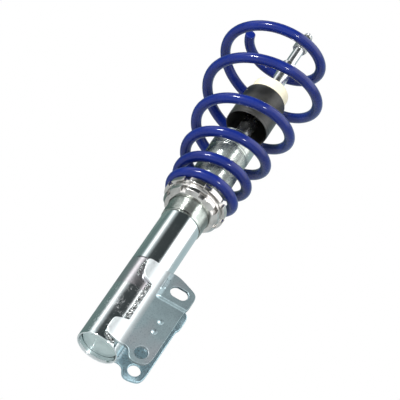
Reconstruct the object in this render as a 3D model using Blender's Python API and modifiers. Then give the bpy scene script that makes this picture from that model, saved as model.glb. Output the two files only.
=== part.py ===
"""Coil-over strut: a damper tube with a knuckle bracket, a height-adjustable spring perch and a coil spring.

The strut's axis is +Z. The origin is the centre of the bottom cap's outer face, and the bracket's two ears
reach towards +X, one on each side of the XZ plane. Lengths in this script are in millimetres, and MM turns
them into metres where the meshes are made. Heights are counted from a datum 2.5 mm above the tube's lower rim,
and the script's last step brings every object down, so that the cap's face lies at height 0.
"""

import math

import bmesh
import bpy
from mathutils import Matrix, Vector

MM = 0.001
GAP = 0.3  # between pieces that touch
SEGMENTS = 24
FINE_SEGMENTS = 32

# Damper tube
TUBE_R = 25.5
TUBE_BORE_R = 22.5
TUBE_BOTTOM = -2.5
TUBE_TOP = 345.5
CAP_FACE = 4.5  # recessed 7 mm into the tube
CAP_THICK = 4.5
SLEEVE_R = 27.0
SLEEVE_BOTTOM = 202.5
GLAND_R = 27.4
GLAND_BOTTOM = 333.5
GLAND_TOP = 360.0
GLAND_CHAMFER = 1.6

# Twin-tube internals
CYLINDER_R = 16.5
CYLINDER_BORE_R = 15.0
CYLINDER_BOTTOM = 12.0
CYLINDER_TOP = 327.5
GUIDE_TOP = 340.5
GUIDE_SPIGOT = 7.5
BUSH_R = 11.4
BUSH_BORE_R = 10.1
SEAL_TOP = 347.5

# Piston rod
ROD_R = 10.0
NECK_R = 7.0
STUD_R = 6.0
SPIGOT_R = 7.0
SPIGOT_BOTTOM = 275.5
PISTON_TOP = 307.5
PISTON_HEIGHT = 16.0
PISTON_R = 14.6
BAND_R = 14.85
SHIM_R = 12.0
SHIM_THICK = 1.7
ROD_SHOULDER = 526.0
NECK_TOP = 559.0
ROD_TOP = 595.0

# Stud nuts
NUT_FLATS = 18.0
SPACER_NUT_BOTTOM = 560.0
SPACER_NUT_TOP = 574.0
LOCK_NUT_TOP = 589.0
CROWN_R = 7.6

# Adjuster rings
RING_BORE_R = 27.4
LOCK_RING_R = 37.2
LOCK_RING_TOE_R = 33.0
LOCK_RING_BOTTOM = 224.5
LOCK_RING_TOP = 235.0
PERCH_BOTTOM = 235.4
PERCH_NECK_R = 36.5
PERCH_FLANGE_BOTTOM = 239.0
PERCH_FLANGE_R = 41.2
PERCH_SEAT = 246.5
PERCH_HUB_R = 32.5
PERCH_TOP = 252.0
NOTCHES = 9
NOTCH_WIDTH = 8.0
NOTCH_DEPTH = 3.4
NOTCH_START = 281.0  # degrees from +X

# Coil spring: (turns, radius of the wire's centre, height) along the coil
WIRE_R = 7.1
SPRING_START = 150.0  # degrees from +X
SPRING_STATIONS = (
    (0.0, 40.2, 254.4),
    (0.25, 40.2, 254.8),
    (0.5, 41.0, 261.5),
    (0.65, 40.5, 269.5),
    (0.8, 40.0, 273.5),
    (1.0, 42.0, 276.5),
    (1.33, 42.5, 286.5),
    (1.66, 45.0, 302.5),
    (2.0, 50.0, 315.0),
    (2.33, 50.0, 326.5),
    (2.66, 52.0, 348.0),
    (3.0, 58.5, 366.5),
    (3.33, 60.5, 379.0),
    (3.66, 62.0, 402.5),
    (4.0, 68.5, 427.0),
    (4.33, 74.0, 442.0),
    (4.66, 74.0, 467.0),
    (5.0, 71.0, 494.5),
    (5.25, 68.5, 503.0),
    (5.5, 60.5, 510.5),
    (5.75, 53.5, 520.0),
    (6.08, 47.5, 529.5),
)
SPRING_POINTS_PER_TURN = 30
SPRING_LEAN = Vector((-17.0, -21.0, 0.0))  # how far the top turn's centre lies off the strut's axis

# Bump stop and dust boot
STOP_R = 25.3
STOP_BORE_R = 10.4
STOP_BOTTOM = 432.0
STOP_TOP = 468.0
BOOT_R = 29.2
BOOT_BORE_R = 27.9
BOOT_BOTTOM = 390.0
BOOT_TOP = 447.5
BOOT_LID = 3.0

# Knuckle bracket
PLATE_THICK = 4.2
WRAP_R = 25.8 + PLATE_THICK / 2  # middle of the sheet
WRAP_START = 256.0  # degrees from +X
WRAP_END = 302.0
EAR_Y = 20.7  # middle of the sheet
JOGGLE = 1.8
JOGGLE_BOTTOM = 80.5
JOGGLE_TOP = 84.5
EAR_BOLT = (46.8, 8.0)
BOLT_HOLE_R = 7.75
CAMBER_SLOT = (46.8, 99.5)
CAMBER_SLOT_LENGTH = 22.0
CAMBER_SLOT_HEIGHT = 14.5
# (x, z, corner radius) round the plate, from the upper tab's free corner
PLATE_OUTLINE = (
    (-5.5, 119.0, 6.0),
    (30.0, 119.8, 0.0),
    (39.5, 119.0, 12.0),
    (65.8, 108.5, 7.5),
    (65.8, 86.0, 8.0),
    (63.2, 80.0, 6.0),
    (61.5, -2.0, 12.0),
    (48.0, -7.2, 8.0),
    (37.5, -6.5, 8.0),
    (32.0, 6.5, 8.0),
    (6.0, 4.0, 5.0),
    (0.0, 9.0, 4.0),
    (0.0, 26.5, 6.0),
    (6.0, 30.5, 5.0),
    (15.0, 35.0, 3.0),
    (15.0, 91.0, 3.0),
    (0.0, 94.5, 6.0),
)
WELD_R = 1.8
WELD_ANGLE = 294.5
WELD_BOTTOM = 38.0
WELD_TOP = 89.0

# name: (base colour, metallic, roughness)
FINISHES = {
    "zinc_plate": ((0.72, 0.75, 0.76), 1.0, 0.16),
    "bracket_zinc": ((0.42, 0.47, 0.49), 1.0, 0.38),
    "weld": ((0.38, 0.37, 0.35), 1.0, 0.5),
    "sleeve_zinc": ((0.66, 0.69, 0.69), 1.0, 0.24),
    "machined_aluminium": ((0.74, 0.72, 0.70), 1.0, 0.3),
    "spring_blue": ((0.02, 0.035, 0.28), 0.0, 0.18),
    "chrome": ((0.82, 0.83, 0.84), 1.0, 0.08),
    "plated_steel": ((0.62, 0.62, 0.60), 1.0, 0.35),
    "machined_steel": ((0.50, 0.50, 0.50), 1.0, 0.4),
    "bronze": ((0.60, 0.42, 0.20), 1.0, 0.35),
    "black_rubber": ((0.02, 0.02, 0.02), 0.0, 0.6),
    "boot_plastic": ((0.025, 0.026, 0.025), 0.0, 0.42),
    "cream_foam": ((0.84, 0.78, 0.58), 0.0, 0.7),
    "dark_polymer": ((0.06, 0.06, 0.06), 0.0, 0.5),
}


def clear_scene():
    for obj in list(bpy.data.objects):
        bpy.data.objects.remove(obj, do_unlink=True)


def new_collection(name, hidden=False):
    collection = bpy.data.collections.new(name)
    collection.hide_render = hidden
    bpy.context.scene.collection.children.link(collection)
    return collection


def material(name):
    found = bpy.data.materials.get(name)
    if found:
        return found
    colour, metallic, roughness = FINISHES[name]
    made = bpy.data.materials.new(name)
    made.use_nodes = True
    shader = made.node_tree.nodes["Principled BSDF"]
    shader.inputs["Base Color"].default_value = (*colour, 1.0)
    shader.inputs["Metallic"].default_value = metallic
    shader.inputs["Roughness"].default_value = roughness
    made.diffuse_color = (*colour, 1.0)
    return made


def add_object(name, data, collection, finish=None):
    obj = bpy.data.objects.new(name, data)
    collection.objects.link(obj)
    if finish:
        data.materials.append(material(finish))
    return obj


def smooth(mesh, degrees=35.0):
    mesh.shade_smooth()
    mesh.set_sharp_from_angle(angle=math.radians(degrees))


def add_screw(obj, steps):
    screw = obj.modifiers.new("turn", "SCREW")
    screw.axis = "Z"
    screw.angle = math.tau
    screw.steps = steps
    screw.render_steps = steps
    screw.use_merge_vertices = True
    screw.merge_threshold = 0.00001
    screw.use_smooth_shade = True
    return obj


def turned(name, profile, finish, closed=True, steps=SEGMENTS, collection=None):
    """A turned piece. The profile is (radius, height) pairs, down the outside first. A ring's is closed."""
    mesh = bpy.data.meshes.new(name)
    points = [(r * MM, 0.0, z * MM) for r, z in profile]
    edges = [(i, i + 1) for i in range(len(points) - 1)]
    if closed:
        edges.append((len(points) - 1, 0))
    mesh.from_pydata(points, edges, [])
    return add_screw(add_object(name, mesh, collection or parts, finish), steps)


def ring_profile(outer_r, bore_r, bottom, top, chamfer=0.0):
    """A plain ring's profile, with its outer corners chamfered if asked."""
    bore = ((bore_r, bottom), (bore_r, top))
    if chamfer == 0.0:
        return ((outer_r, top), (outer_r, bottom), *bore)
    return (
        (outer_r - chamfer, top),
        (outer_r, top - chamfer),
        (outer_r, bottom + chamfer),
        (outer_r - chamfer, bottom),
        *bore,
    )


def upright_prism(name, sides, corner_r, bottom, top, collection, finish=None):
    mesh = bpy.data.meshes.new(name)
    form = bmesh.new()
    bmesh.ops.create_cone(
        form,
        cap_ends=True,
        segments=sides,
        radius1=corner_r * MM,
        radius2=corner_r * MM,
        depth=(top - bottom) * MM,
        matrix=Matrix.Translation((0.0, 0.0, (top + bottom) / 2 * MM)),
    )
    form.to_mesh(mesh)
    form.free()
    return add_object(name, mesh, collection, finish)


def as_cutter(obj):
    obj.hide_render = True
    obj.display_type = "WIRE"
    return obj


def boolean(obj, operation, cutter):
    cut = obj.modifiers.new(operation.lower(), "BOOLEAN")
    cut.operation = operation
    cut.solver = "EXACT"
    cut.object = cutter
    return obj


def curve_as_mesh(curve_object, collection):
    """The curve object's evaluated surface as a mesh object of the same name, with its caps welded on."""
    bpy.context.view_layer.update()
    graph = bpy.context.evaluated_depsgraph_get()
    mesh = bpy.data.meshes.new_from_object(curve_object.evaluated_get(graph))
    place = curve_object.matrix_world.copy()
    name = curve_object.name
    bpy.data.objects.remove(curve_object, do_unlink=True)
    form = bmesh.new()
    form.from_mesh(mesh)
    bmesh.ops.remove_doubles(form, verts=form.verts, dist=0.00001)
    bmesh.ops.recalc_face_normals(form, faces=form.faces)
    form.to_mesh(mesh)
    form.free()
    made = add_object(name, mesh, collection)
    made.matrix_world = place
    return made


def rounded(corners, steps=4):
    """A closed outline through (x, z, radius) corners, with each corner rounded by a quadratic arc."""
    points = []
    for i, (x, z, radius) in enumerate(corners):
        here = Vector((x, z))
        back = Vector(corners[i - 1][:2]) - here
        ahead = Vector(corners[(i + 1) % len(corners)][:2]) - here
        if radius == 0.0:
            points.append(here)
            continue
        start = here + back.normalized() * min(radius, 0.48 * back.length)
        end = here + ahead.normalized() * min(radius, 0.48 * ahead.length)
        for k in range(steps + 1):
            t = k / steps
            points.append(start * (1 - t) ** 2 + here * 2 * t * (1 - t) + end * t * t)
    return points


def round_point(centre, radius, angle):
    """The XZ point at this angle, in radians, on a circle."""
    return Vector((centre[0] + radius * math.cos(angle), centre[1] + radius * math.sin(angle)))


def circle(centre, radius, steps=16):
    return [round_point(centre, radius, math.tau * k / steps) for k in range(steps)]


def stadium(centre, length, height, steps=7):
    """A slot's outline, with round ends, along X."""
    reach = (length - height) / 2
    points = []
    for side in (1, -1):
        end = (centre[0] + side * reach, centre[1])
        for k in range(steps + 1):
            angle = math.pi * (k / steps - side / 2)
            points.append(round_point(end, height / 2, angle))
    return points


def flat_prism(name, outlines, half_depth, collection):
    """A prism along Y with the given XZ outlines: the first is the outside, and the others are holes."""
    curve = bpy.data.curves.new(name, "CURVE")
    curve.dimensions = "2D"
    curve.fill_mode = "BOTH"
    curve.extrude = half_depth * MM
    for outline in outlines:
        spline = curve.splines.new("POLY")
        spline.points.add(len(outline) - 1)
        for point, (x, z) in zip(spline.points, outline):
            point.co = (x * MM, z * MM, 0.0, 1.0)
        spline.use_cyclic_u = True
    made = add_object(name, curve, collection)
    made.rotation_euler = (math.radians(90), 0.0, 0.0)
    return curve_as_mesh(made, collection)


def wire(name, points, radius, finish, resolution=2):
    curve = bpy.data.curves.new(name, "CURVE")
    curve.dimensions = "3D"
    curve.bevel_depth = radius * MM
    curve.bevel_resolution = resolution
    curve.use_fill_caps = True
    spline = curve.splines.new("POLY")
    spline.points.add(len(points) - 1)
    for target, source in zip(spline.points, points):
        target.co = (*(source * MM), 1.0)
    spline.use_smooth = True
    return add_object(name, curve, parts, finish)


def smoothstep(value, low, high):
    t = min(max((value - low) / (high - low), 0.0), 1.0)
    return t * t * (3 - 2 * t)


def on_axis(radius, degrees, z):
    angle = math.radians(degrees)
    return Vector((radius * math.cos(angle), radius * math.sin(angle), z))


# ---------------------------------------------------------------- damper tube and what closes it


def make_tube():
    turned(
        "strut_tube",
        ((TUBE_R, TUBE_TOP), (TUBE_R, TUBE_BOTTOM + 1.0), (TUBE_R - 1.0, TUBE_BOTTOM),
         (TUBE_BORE_R, TUBE_BOTTOM), (TUBE_BORE_R, TUBE_TOP)),
        "zinc_plate",
        steps=FINE_SEGMENTS,
    )
    turned(
        "bottom_cap",
        (
            (0.0, CAP_FACE + CAP_THICK),
            (TUBE_BORE_R - GAP, CAP_FACE + CAP_THICK),
            (TUBE_BORE_R - GAP, CAP_FACE),
            (0.0, CAP_FACE),
        ),
        "zinc_plate",
        closed=False,
        steps=FINE_SEGMENTS,
    )
    turned(
        "threaded_sleeve",
        ring_profile(SLEEVE_R, TUBE_R + GAP, SLEEVE_BOTTOM, GLAND_BOTTOM - GAP, chamfer=0.6),
        "sleeve_zinc",
        steps=FINE_SEGMENTS,
    )


def make_gland():
    wall_r = TUBE_R + GAP
    lid_bottom = SEAL_TOP + GAP
    turned(
        "gland_nut",
        (
            (GLAND_R - GLAND_CHAMFER, GLAND_TOP),
            (GLAND_R, GLAND_TOP - GLAND_CHAMFER),
            (GLAND_R, GLAND_BOTTOM),
            (wall_r, GLAND_BOTTOM),
            (wall_r, lid_bottom),
            (ROD_R + 0.8, lid_bottom),
            (ROD_R + 0.8, GLAND_TOP - 3.0),
            (ROD_R + 6.0, GLAND_TOP),
        ),
        "sleeve_zinc",
        steps=FINE_SEGMENTS,
    )
    turned(
        "rod_seal",
        ring_profile(TUBE_BORE_R - GAP, BUSH_BORE_R, GUIDE_TOP + GAP, SEAL_TOP, chamfer=0.8),
        "black_rubber",
    )
    groove_r = TUBE_BORE_R - 2.2
    turned(
        "rod_guide",
        (
            (TUBE_BORE_R - GAP, GUIDE_TOP),
            (TUBE_BORE_R - GAP, GUIDE_TOP - 4.0),
            (groove_r, GUIDE_TOP - 4.0),
            (groove_r, GUIDE_TOP - 7.0),
            (TUBE_BORE_R - GAP, GUIDE_TOP - 7.0),
            (TUBE_BORE_R - GAP, CYLINDER_TOP + GAP),
            (CYLINDER_BORE_R - GAP, CYLINDER_TOP + GAP),
            (CYLINDER_BORE_R - GAP, CYLINDER_TOP - GUIDE_SPIGOT),
            (BUSH_R + GAP, CYLINDER_TOP - GUIDE_SPIGOT),
            (BUSH_R + GAP, GUIDE_TOP),
        ),
        "machined_aluminium",
    )
    turned(
        "guide_bush",
        ring_profile(BUSH_R, BUSH_BORE_R, CYLINDER_TOP - GUIDE_SPIGOT + 1.0, GUIDE_TOP - 1.0),
        "bronze",
    )
    thick = 0.85
    middle = ((groove_r + TUBE_BORE_R) / 2, GUIDE_TOP - 5.5)
    turned(
        "gland_o_ring",
        [round_point(middle, thick, math.tau * (0.25 - k / 10)) for k in range(10)],
        "black_rubber",
    )


def make_cylinder():
    turned(
        "inner_cylinder",
        ring_profile(CYLINDER_R, CYLINDER_BORE_R, CYLINDER_BOTTOM, CYLINDER_TOP),
        "machined_steel",
    )
    seat = CYLINDER_BOTTOM - GAP
    turned(
        "base_valve",
        (
            (0.0, CYLINDER_BOTTOM + 8.0),
            (CYLINDER_BORE_R - GAP, CYLINDER_BOTTOM + 8.0),
            (CYLINDER_BORE_R - GAP, seat),
            (TUBE_BORE_R - 2.0, seat),
            (TUBE_BORE_R - 4.0, CAP_FACE + CAP_THICK + GAP),
            (0.0, CAP_FACE + CAP_THICK + GAP),
        ),
        "machined_steel",
        closed=False,
    )


# ---------------------------------------------------------------- piston rod and what it carries


def make_rod():
    shoulder = PISTON_TOP + SHIM_THICK + 2 * GAP
    turned(
        "piston_rod",
        (
            (0.0, ROD_TOP),
            (STUD_R - 1.0, ROD_TOP),
            (STUD_R, ROD_TOP - 1.0),
            (STUD_R, NECK_TOP),
            (NECK_R, NECK_TOP - 1.0),
            (NECK_R, ROD_SHOULDER),
            (ROD_R - 0.6, ROD_SHOULDER),
            (ROD_R, ROD_SHOULDER - 0.6),
            (ROD_R, shoulder),
            (SPIGOT_R, shoulder),
            (SPIGOT_R, SPIGOT_BOTTOM + 1.0),
            (SPIGOT_R - 1.0, SPIGOT_BOTTOM),
            (0.0, SPIGOT_BOTTOM),
        ),
        "chrome",
        closed=False,
    )


def make_piston():
    bore_r = SPIGOT_R + GAP
    bottom = PISTON_TOP - PISTON_HEIGHT
    groove = BAND_R - 1.0
    turned(
        "piston",
        (
            (PISTON_R, PISTON_TOP),
            (PISTON_R, PISTON_TOP - 3.0),
            (groove, PISTON_TOP - 3.0),
            (groove, bottom + 3.0),
            (PISTON_R, bottom + 3.0),
            (PISTON_R, bottom),
            (bore_r, bottom),
            (bore_r, PISTON_TOP),
        ),
        "machined_steel",
    )
    turned(
        "piston_band",
        ring_profile(BAND_R, groove + 0.15, bottom + 3.0 + GAP, PISTON_TOP - 3.0 - GAP),
        "dark_polymer",
    )
    turned(
        "rebound_shims",
        ring_profile(SHIM_R, bore_r, PISTON_TOP + GAP, PISTON_TOP + GAP + SHIM_THICK),
        "machined_steel",
    )
    turned(
        "compression_shims",
        ring_profile(SHIM_R, bore_r, bottom - GAP - SHIM_THICK, bottom - GAP),
        "machined_steel",
    )
    hex_nut("piston_nut", 19.0, bore_r, SPIGOT_BOTTOM + 2.0, bottom - 2 * GAP - SHIM_THICK)
    turned(
        "rebound_bumper",
        ring_profile(13.8, ROD_R + GAP, PISTON_TOP + 3.0, CYLINDER_TOP - GUIDE_SPIGOT - GAP, chamfer=1.2),
        "black_rubber",
    )


def hex_nut(name, flats, bore_r, bottom, top):
    """A hexagon nut with its corners turned down at both ends."""
    corner_r = flats / 2 / math.cos(math.radians(30))
    nut = upright_prism(name, 6, corner_r, bottom, top, parts, "plated_steel")
    turned_down = as_cutter(
        turned(
            f"{name}_chamfer_cutter",
            (
                (0.0, top + 1.0),
                (flats / 2 - 1.2, top + 1.0),
                (corner_r + 0.4, top - 1.3),
                (corner_r + 0.4, bottom + 1.3),
                (flats / 2 - 1.2, bottom - 1.0),
                (0.0, bottom - 1.0),
            ),
            None,
            closed=False,
            steps=24,
            collection=cutters,
        )
    )
    boolean(nut, "INTERSECT", turned_down)
    bore = upright_prism(f"{name}_bore_cutter", 32, bore_r, bottom - 2.0, top + 2.0, cutters)
    boolean(nut, "DIFFERENCE", as_cutter(bore))
    smooth(nut.data)


def make_stud_nuts():
    hex_nut("spacer_nut", NUT_FLATS, STUD_R + GAP, SPACER_NUT_BOTTOM, SPACER_NUT_TOP)
    crown_bottom = LOCK_NUT_TOP - 4.5
    hex_nut("top_lock_nut", NUT_FLATS, STUD_R + GAP, SPACER_NUT_TOP + GAP, crown_bottom)
    turned(
        "lock_nut_insert",
        (
            (CROWN_R - 1.5, LOCK_NUT_TOP),
            (CROWN_R - 0.3, LOCK_NUT_TOP - 1.2),
            (CROWN_R, crown_bottom + GAP),
            (STUD_R + GAP, crown_bottom + GAP),
            (STUD_R + GAP, LOCK_NUT_TOP),
        ),
        "dark_polymer",
    )


# ---------------------------------------------------------------- spring and its adjuster rings


def notch_cutter(name, ring_r, bottom, top):
    """Blocks round the rim, one for each hook-wrench notch."""
    mesh = bpy.data.meshes.new(name)
    form = bmesh.new()
    block = 12.0
    for k in range(NOTCHES):
        turn = Matrix.Rotation(math.radians(NOTCH_START + 360.0 * k / NOTCHES), 4, "Z")
        place = Matrix.Translation(((ring_r - NOTCH_DEPTH + block / 2) * MM, 0.0, (bottom + top) / 2 * MM))
        size = Matrix.Diagonal((block * MM, NOTCH_WIDTH * MM, (top - bottom) * MM, 1.0))
        bmesh.ops.create_cube(form, size=1.0, matrix=turn @ place @ size)
    form.to_mesh(mesh)
    form.free()
    return as_cutter(add_object(name, mesh, cutters))


def make_rings():
    lock_ring = turned(
        "lock_ring",
        (
            (LOCK_RING_R - 0.8, LOCK_RING_TOP),
            (LOCK_RING_R, LOCK_RING_TOP - 0.8),
            (LOCK_RING_R, LOCK_RING_BOTTOM + 4.5),
            (LOCK_RING_TOE_R, LOCK_RING_BOTTOM),
            (RING_BORE_R, LOCK_RING_BOTTOM),
            (RING_BORE_R, LOCK_RING_TOP),
        ),
        "machined_aluminium",
        steps=FINE_SEGMENTS,
    )
    boolean(
        lock_ring,
        "DIFFERENCE",
        notch_cutter("lock_ring_notch_cutter", LOCK_RING_R, LOCK_RING_BOTTOM - 4.0, LOCK_RING_TOP + 1.0),
    )
    perch = turned(
        "spring_perch",
        (
            (PERCH_HUB_R - 1.0, PERCH_TOP),
            (PERCH_HUB_R, PERCH_TOP - 1.0),
            (PERCH_HUB_R, PERCH_SEAT),
            (PERCH_FLANGE_R - 0.8, PERCH_SEAT),
            (PERCH_FLANGE_R, PERCH_SEAT - 0.8),
            (PERCH_FLANGE_R, PERCH_FLANGE_BOTTOM + 0.8),
            (PERCH_FLANGE_R - 0.8, PERCH_FLANGE_BOTTOM),
            (PERCH_NECK_R, PERCH_FLANGE_BOTTOM),
            (PERCH_NECK_R, PERCH_BOTTOM),
            (RING_BORE_R, PERCH_BOTTOM),
            (RING_BORE_R, PERCH_TOP),
        ),
        "machined_aluminium",
        steps=FINE_SEGMENTS,
    )
    boolean(
        perch,
        "DIFFERENCE",
        notch_cutter("perch_notch_cutter", PERCH_FLANGE_R, PERCH_FLANGE_BOTTOM - 1.0, PERCH_SEAT + 1.0),
    )


def spring_station(turns):
    """(radius, height) at a place along the coil, on a smooth curve through the stations."""
    last = len(SPRING_STATIONS) - 1
    k = max(i for i in range(last) if SPRING_STATIONS[i][0] <= turns)
    row = [SPRING_STATIONS[min(max(k + i, 0), last)] for i in (-1, 0, 1, 2)]
    span = row[2][0] - row[1][0]
    t = (turns - row[1][0]) / span
    result = []
    for column in (1, 2):
        slopes = [
            (row[i + 1][column] - row[i - 1][column]) / (row[i + 1][0] - row[i - 1][0]) * span
            for i in (1, 2)
        ]
        result.append(
            (2 * t**3 - 3 * t**2 + 1) * row[1][column]
            + (t**3 - 2 * t**2 + t) * slopes[0]
            + (3 * t**2 - 2 * t**3) * row[2][column]
            + (t**3 - t**2) * slopes[1]
        )
    return result


def make_spring():
    turns_total = SPRING_STATIONS[-1][0]
    bottom = SPRING_STATIONS[0][2]
    height = SPRING_STATIONS[-1][2] - bottom
    count = round(turns_total * SPRING_POINTS_PER_TURN)
    points = []
    for i in range(count + 1):
        turns = turns_total * i / count
        radius, z = spring_station(turns)
        share = (z - bottom) / height
        slope = SPRING_LEAN * 2 * share / height
        spoke = on_axis(radius, SPRING_START + 360.0 * turns, 0.0)
        spoke.z = -spoke.dot(slope)  # each turn lies square to the leaning centre line
        points.append(spoke + SPRING_LEAN * share**2 + Vector((0.0, 0.0, z)))
    wire("coil_spring", points, WIRE_R, "spring_blue")


# ---------------------------------------------------------------- bump stop and dust boot


def make_boot():
    turned(
        "dust_boot",
        (
            (BOOT_R - 3.0, BOOT_TOP),
            (BOOT_R - 0.9, BOOT_TOP - 0.9),
            (BOOT_R, BOOT_TOP - 3.0),
            (BOOT_R, BOOT_BOTTOM),
            (BOOT_BORE_R, BOOT_BOTTOM),
            (BOOT_BORE_R, BOOT_TOP - BOOT_LID - 1.0),
            (BOOT_BORE_R - 1.0, BOOT_TOP - BOOT_LID),
            (STOP_R + GAP, BOOT_TOP - BOOT_LID),
            (STOP_R + GAP, BOOT_TOP),
        ),
        "boot_plastic",
        steps=FINE_SEGMENTS,
    )
    turned(
        "bump_stop",
        (
            (STOP_R - 2.0, STOP_TOP),
            (STOP_R - 0.5, STOP_TOP - 0.6),
            (STOP_R, STOP_TOP - 2.2),
            (STOP_R, STOP_BOTTOM + 9.0),
            (STOP_R - 5.5, STOP_BOTTOM + 1.5),
            (STOP_R - 7.0, STOP_BOTTOM),
            (STOP_BORE_R, STOP_BOTTOM),
            (STOP_BORE_R, STOP_TOP - 1.5),
            (STOP_BORE_R + 1.5, STOP_TOP),
        ),
        "cream_foam",
    )


# ---------------------------------------------------------------- knuckle bracket


def plate_section():
    """The sheet's middle line in the XY plane on the -Y side, from the wrap's free edge to the ear's edge."""
    line = [on_axis(WRAP_R, WRAP_START + (WRAP_END - WRAP_START) * k / 10, 0.0) for k in range(11)]
    start = line[-1]
    along = Vector((-start.y, start.x, 0.0)).normalized()
    corner = start + along * (-EAR_Y - start.y) / along.y
    end = Vector((corner.x + 6.5, -EAR_Y, 0.0))
    for k in range(1, 7):
        t = k / 6
        line.append(start * (1 - t) ** 2 + corner * 2 * t * (1 - t) + end * t * t)
    line += [Vector((x, -EAR_Y, 0.0)) for x in (28.5, 31.0, 40.0, 72.0)]
    return line


def make_plate(name, side):
    """One half of the bracket: a tab round the tube and the ear. side is -1 for -Y and 1 for +Y."""
    heights = (-12.0, JOGGLE_BOTTOM, JOGGLE_BOTTOM + 1.0, JOGGLE_TOP - 1.0, JOGGLE_TOP, 125.0)
    section = plate_section()
    mesh = bpy.data.meshes.new(name)
    form = bmesh.new()
    rows = []
    for z in heights:
        step = JOGGLE * smoothstep(z, JOGGLE_BOTTOM, JOGGLE_TOP)
        row = []
        for point in section:
            y = point.y - step * smoothstep(point.x, 24.0, 31.0)
            row.append(form.verts.new((point.x * MM, -side * y * MM, z * MM)))
        rows.append(row)
    for low, high in zip(rows, rows[1:]):
        for i in range(len(section) - 1):
            form.faces.new((low[i], low[i + 1], high[i + 1], high[i]))
    bmesh.ops.recalc_face_normals(form, faces=form.faces)
    form.to_mesh(mesh)
    form.free()
    plate = add_object(name, mesh, parts, "bracket_zinc")
    sheet = plate.modifiers.new("sheet", "SOLIDIFY")
    sheet.thickness = PLATE_THICK * MM
    sheet.offset = 0.0
    sheet.use_even_offset = True
    outline = flat_prism(
        f"{name}_outline_cutter",
        (
            rounded(PLATE_OUTLINE),
            circle(EAR_BOLT, BOLT_HOLE_R),
            stadium(CAMBER_SLOT, CAMBER_SLOT_LENGTH, CAMBER_SLOT_HEIGHT),
        ),
        40.0,
        cutters,
    )
    outline.location.y = side * 41.0 * MM
    boolean(plate, "INTERSECT", as_cutter(outline))
    smooth(mesh)


def make_bracket():
    make_plate("bracket_plate_front", -1)
    make_plate("bracket_plate_rear", 1)
    for name, side in (("weld_seam_front", 1), ("weld_seam_rear", -1)):
        centre_r = TUBE_R + GAP + WELD_R
        count = 8
        points = [
            on_axis(centre_r, side * WELD_ANGLE, WELD_BOTTOM + (WELD_TOP - WELD_BOTTOM) * k / count)
            for k in range(count + 1)
        ]
        wire(name, points, WELD_R, "weld", resolution=1)


clear_scene()
parts = new_collection("strut_assembly")
cutters = new_collection("cutters", hidden=True)
make_tube()
make_gland()
make_cylinder()
make_rod()
make_piston()
make_stud_nuts()
make_rings()
make_spring()
make_boot()
make_bracket()
for obj in [*parts.objects, *cutters.objects]:
    obj.location.z -= CAP_FACE * MM
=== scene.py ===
"""Looks of the coil-over strut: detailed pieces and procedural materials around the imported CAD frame.

Lengths are in millimetres until the meshes are made, and MM turns them into metres. The strut's axis is +Z.
Heights are counted from the datum that the CAD source uses, which lies CAP_FACE below the frame's origin.
"""

import math

import bmesh
import bpy
import numpy as np
from mathutils import Matrix, Vector, noise
from mathutils.geometry import delaunay_2d_cdt


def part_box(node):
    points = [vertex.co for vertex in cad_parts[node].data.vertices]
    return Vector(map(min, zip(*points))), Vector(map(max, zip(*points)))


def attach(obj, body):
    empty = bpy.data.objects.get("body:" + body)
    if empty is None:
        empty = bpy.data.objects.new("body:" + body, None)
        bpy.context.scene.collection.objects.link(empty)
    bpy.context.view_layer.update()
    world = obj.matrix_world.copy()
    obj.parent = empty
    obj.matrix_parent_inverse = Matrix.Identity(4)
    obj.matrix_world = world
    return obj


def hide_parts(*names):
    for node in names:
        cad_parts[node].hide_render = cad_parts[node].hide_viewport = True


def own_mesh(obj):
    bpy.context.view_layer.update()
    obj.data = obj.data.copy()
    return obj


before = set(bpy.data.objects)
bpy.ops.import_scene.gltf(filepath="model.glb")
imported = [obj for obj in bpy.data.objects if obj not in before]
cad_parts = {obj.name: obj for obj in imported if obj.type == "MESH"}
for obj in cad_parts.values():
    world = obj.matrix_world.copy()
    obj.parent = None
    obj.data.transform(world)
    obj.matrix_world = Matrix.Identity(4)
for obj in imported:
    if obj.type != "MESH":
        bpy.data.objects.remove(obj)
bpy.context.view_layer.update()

MM = 0.001
CAP_FACE = 4.5
SEGMENTS = 128
FILLET_STEPS = 5
SUPPORT = 0.35  # how far past a fillet the loop lies that keeps its neighbour's shading flat


def bottom_of(node):
    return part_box(node)[0].z / MM + CAP_FACE


def top_of(node):
    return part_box(node)[1].z / MM + CAP_FACE


def radius_of(node):
    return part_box(node)[1].x / MM


# ---------------------------------------------------------------- sizes, from the CAD frame where it has them

TUBE_R = radius_of("strut_tube")
TUBE_BORE_R = 22.5
TUBE_BOTTOM = bottom_of("strut_tube")
TUBE_TOP = top_of("strut_tube")
SLEEVE_R = radius_of("threaded_sleeve")
GLAND_R = radius_of("gland_nut")
GLAND_TOP = top_of("gland_nut")
SEAL_TOP = top_of("rod_seal")
ROD_R = radius_of("piston_rod")
ROD_TOP = top_of("piston_rod")
ROD_SHOULDER = 526.0
NECK_R = 7.0
NECK_TOP = 559.0
STUD_R = 6.0
NUT_FLATS = 18.0
RING_BORE_R = 27.4
LOCK_RING_TOE_R = 33.0
LOCK_RING_R = 37.2
PERCH_R = 41.2
PERCH_FLANGE_BOTTOM = 239.0
PERCH_SEAT = 246.5
PERCH_HUB_R = 32.5
NOTCHES = 9
NOTCH_WIDTH = 8.0
NOTCH_DEPTH = 3.4
NOTCH_START = 281.0  # degrees from +X

WIRE_R = 6.9
SPRING_START = 150.0
SPRING_LEAN = Vector((-17.0, -21.0, 0.0))
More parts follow.
